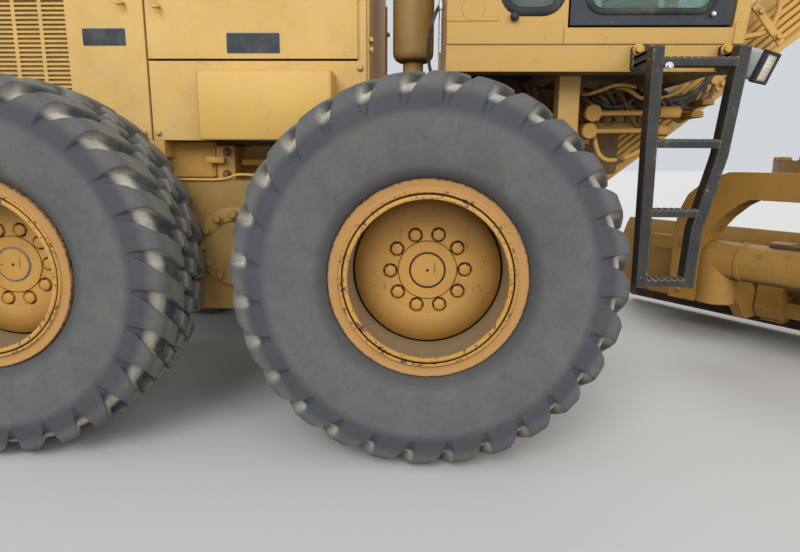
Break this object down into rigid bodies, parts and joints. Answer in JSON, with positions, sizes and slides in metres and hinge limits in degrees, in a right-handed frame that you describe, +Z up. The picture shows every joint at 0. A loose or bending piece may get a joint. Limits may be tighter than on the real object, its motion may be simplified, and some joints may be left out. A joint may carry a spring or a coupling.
{
  "type": "motor grader",
  "caption": "Motor grader with an engine hood, an enclosed cab, a rising one-piece beam, tandem rear wheels, leaning front wheels and an angled blade under a turning circle.",
  "frame": {"origin": "centre of the machine's footprint box, on the ground", "axes": "+X towards the front of the machine, +Y towards its left side, +Z up"},
  "size_m": [8.312, 3.0935, 3.381],
  "materials": {
    "yellow_paint": "satin",
    "pale_paint": "satin",
    "dark_paint": "satin",
    "tyre": "matte",
    "steel": "satin",
    "glass": "gloss",
    "lamp": "gloss",
    "seat": "matte"
  },
  "bodies": {
    "chassis": {"main_frame": "yellow_paint", "platform": "yellow_paint", "cab_shell": "yellow_paint", "cab_roof": "yellow_paint", "cab_glass": "glass", "operator_seat": "seat", "control_console": "dark_paint", "ladders": "dark_paint", "front_lamps": "dark_paint", "rear_lamps": "lamp", "hydraulic_lines": "yellow_paint", "air_cleaner": "yellow_paint", "hood_shell": "pale_paint", "rear_grille": "dark_paint", "hood_stacks": "steel", "tool_boxes": "yellow_paint", "side_panel_right": "pale_paint", "side_panel_left": "pale_paint", "engine_block": "steel", "rear_axle": "yellow_paint", "tandem_right": "yellow_paint", "tandem_left": "yellow_paint", "front_axle": "yellow_paint", "bolster_rear": "yellow_paint", "bolster_front": "yellow_paint", "axle_pin": "steel"},
    "cab_door_right": {"cab_door_right": "dark_paint", "door_glass_right": "glass"},
    "engine_door_right": {"engine_door_right": "pale_paint"},
    "cab_door_left": {"cab_door_left": "dark_paint", "door_glass_left": "glass"},
    "engine_door_left": {"engine_door_left": "pale_paint"},
    "wheel_rear_right": {"tyre_rear_right": "tyre", "rim_rear_right": "yellow_paint"},
    "wheel_rear_left": {"tyre_rear_left": "tyre", "rim_rear_left": "yellow_paint"},
    "wheel_middle_right": {"tyre_middle_right": "tyre", "rim_middle_right": "yellow_paint"},
    "wheel_middle_left": {"tyre_middle_left": "tyre", "rim_middle_left": "yellow_paint"},
    "lean_left": {"lean_bracket_left": "yellow_paint"},
    "steer_left": {"knuckle_left": "yellow_paint"},
    "wheel_front_left": {"tyre_front_left": "tyre", "rim_front_left": "yellow_paint"},
    "lean_right": {"lean_bracket_right": "yellow_paint"},
    "steer_right": {"knuckle_right": "yellow_paint"},
    "wheel_front_right": {"tyre_front_right": "tyre", "rim_front_right": "yellow_paint"},
    "lean_bar": {"lean_bar": "yellow_paint"},
    "tie_rod_end": {"tie_rod_end": "steel"},
    "tie_rod": {"tie_rod": "yellow_paint"},
    "drawbar": {"drawbar": "yellow_paint"},
    "blade_circle": {"blade_circle": "yellow_paint"},
    "blade_frame": {"blade_frame": "yellow_paint"},
    "blade": {"moldboard": "yellow_paint", "cutting_edge": "steel"},
    "lift_barrel_left": {"lift_barrel_left": "yellow_paint"},
    "lift_rod_left": {"lift_rod_left": "steel"},
    "lift_barrel_right": {"lift_barrel_right": "yellow_paint"},
    "lift_rod_right": {"lift_rod_right": "steel"}
  },
  "joints": [
    {"name": "cab_door_right_hinge", "type": "hinge", "parent": "chassis", "child": "cab_door_right", "pos_m": [-1.159, -0.736, 2.322], "axis": [0, 0, -1], "range_deg": [0, 95]},
    {"name": "engine_door_right_hinge", "type": "hinge", "parent": "chassis", "child": "engine_door_right", "pos_m": [-1.955, -0.616, 1.622], "axis": [0, 0, 1], "range_deg": [0, 110]},
    {"name": "cab_door_left_hinge", "type": "hinge", "parent": "chassis", "child": "cab_door_left", "pos_m": [-1.159, 0.736, 2.322], "axis": [0, 0, 1], "range_deg": [0, 95]},
    {"name": "engine_door_left_hinge", "type": "hinge", "parent": "chassis", "child": "engine_door_left", "pos_m": [-1.955, 0.616, 1.622], "axis": [0, 0, -1], "range_deg": [0, 110]},
    {"name": "wheel_rear_right_spin", "type": "hinge", "parent": "chassis", "child": "wheel_rear_right", "pos_m": [-3.1955, -0.985, 0.672], "axis": [0, 1, 0], "continuous": true},
    {"name": "wheel_rear_left_spin", "type": "hinge", "parent": "chassis", "child": "wheel_rear_left", "pos_m": [-3.1955, 0.985, 0.672], "axis": [0, 1, 0], "continuous": true},
    {"name": "wheel_middle_right_spin", "type": "hinge", "parent": "chassis", "child": "wheel_middle_right", "pos_m": [-1.6725, -0.985, 0.672], "axis": [0, 1, 0], "continuous": true},
    {"name": "wheel_middle_left_spin", "type": "hinge", "parent": "chassis", "child": "wheel_middle_left", "pos_m": [-1.6725, 0.985, 0.672], "axis": [0, 1, 0], "continuous": true},
    {"name": "lean_left_pivot", "type": "hinge", "parent": "chassis", "child": "lean_left", "pos_m": [3.484, 0.69, 0.542], "axis": [1, 0, 0], "range_deg": [-18, 18]},
    {"name": "steer_left_kingpin", "type": "hinge", "parent": "lean_left", "child": "steer_left", "pos_m": [3.484, 0.8, 0.672], "axis": [0, 0, 1], "range_deg": [-50, 50]},
    {"name": "wheel_front_left_spin", "type": "hinge", "parent": "steer_left", "child": "wheel_front_left", "pos_m": [3.484, 0.985, 0.672], "axis": [0, 1, 0], "continuous": true},
    {"name": "lean_right_pivot", "type": "hinge", "parent": "chassis", "child": "lean_right", "pos_m": [3.484, -0.69, 0.542], "axis": [1, 0, 0], "range_deg": [-18, 18]},
    {"name": "steer_right_kingpin", "type": "hinge", "parent": "lean_right", "child": "steer_right", "pos_m": [3.484, -0.8, 0.672], "axis": [0, 0, 1], "range_deg": [-50, 50]},
    {"name": "wheel_front_right_spin", "type": "hinge", "parent": "steer_right", "child": "wheel_front_right", "pos_m": [3.484, -0.985, 0.672], "axis": [0, 1, 0], "continuous": true},
    {"name": "lean_bar_pivot", "type": "hinge", "parent": "lean_left", "child": "lean_bar", "pos_m": [3.484, 0.69, 0.902], "axis": [1, 0, 0], "range_deg": [-18, 18]},
    {"name": "tie_rod_end_turn", "type": "hinge", "parent": "steer_left", "child": "tie_rod_end", "pos_m": [3.284, 0.8, 0.642], "axis": [0, 0, 1], "range_deg": [-50, 50]},
    {"name": "tie_rod_ball", "type": "hinge", "parent": "tie_rod_end", "child": "tie_rod", "pos_m": [3.284, 0.8, 0.642], "axis": [1, 0, 0], "range_deg": [-18, 18]},
    {"name": "drawbar_lift", "type": "hinge", "parent": "chassis", "child": "drawbar", "pos_m": [3.166, 0, 0.822], "axis": [0, 1, 0], "range_deg": [-16, 8.5]},
    {"name": "circle_turn", "type": "hinge", "parent": "drawbar", "child": "blade_circle", "pos_m": [0.926, 0, 1.037], "axis": [0, 0, 1], "continuous": true},
    {"name": "blade_tip", "type": "hinge", "parent": "blade_circle", "child": "blade_frame", "pos_m": [0.68329, -0.17634, 0.227], "axis": [-0.5878, 0.809, 0], "range_deg": [-5, 40]},
    {"name": "blade_side_shift", "type": "slide", "parent": "blade_frame", "child": "blade", "axis": [0.5878, -0.809, 0], "range_m": [-0.51, 0.66]},
    {"name": "lift_barrel_left_trunnion", "type": "hinge", "parent": "chassis", "child": "lift_barrel_left", "pos_m": [0.926, 0.62, 2.022], "axis": [0, 1, 0], "range_deg": [-8, 5]},
    {"name": "lift_rod_left_slide", "type": "slide", "parent": "lift_barrel_left", "child": "lift_rod_left", "axis": [-0.2925, 0, -0.9563], "range_m": [-0.38, 0.7]},
    {"name": "lift_barrel_right_trunnion", "type": "hinge", "parent": "chassis", "child": "lift_barrel_right", "pos_m": [0.926, -0.62, 2.022], "axis": [0, 1, 0], "range_deg": [-8, 5]},
    {"name": "lift_rod_right_slide", "type": "slide", "parent": "lift_barrel_right", "child": "lift_rod_right", "axis": [-0.2925, 0, -0.9563], "range_m": [-0.38, 0.7]}
  ],
  "couplings": [
    {"joint": "lean_right_pivot", "follows": "lean_left_pivot", "ratio": 1},
    {"joint": "steer_right_kingpin", "follows": "steer_left_kingpin", "ratio": 1},
    {"joint": "lean_bar_pivot", "follows": "lean_left_pivot", "ratio": -1},
    {"joint": "tie_rod_end_turn", "follows": "steer_left_kingpin", "ratio": -1},
    {"joint": "tie_rod_ball", "follows": "lean_left_pivot", "ratio": -0.864},
    {"joint": "lift_barrel_left_trunnion", "follows": "drawbar_lift", "ratio": 0.46},
    {"joint": "lift_rod_left_slide", "follows": "drawbar_lift", "m_per_rad": -2.4699},
    {"joint": "lift_barrel_right_trunnion", "follows": "drawbar_lift", "ratio": 0.46},
    {"joint": "lift_rod_right_slide", "follows": "drawbar_lift", "m_per_rad": -2.4699}
  ]
}
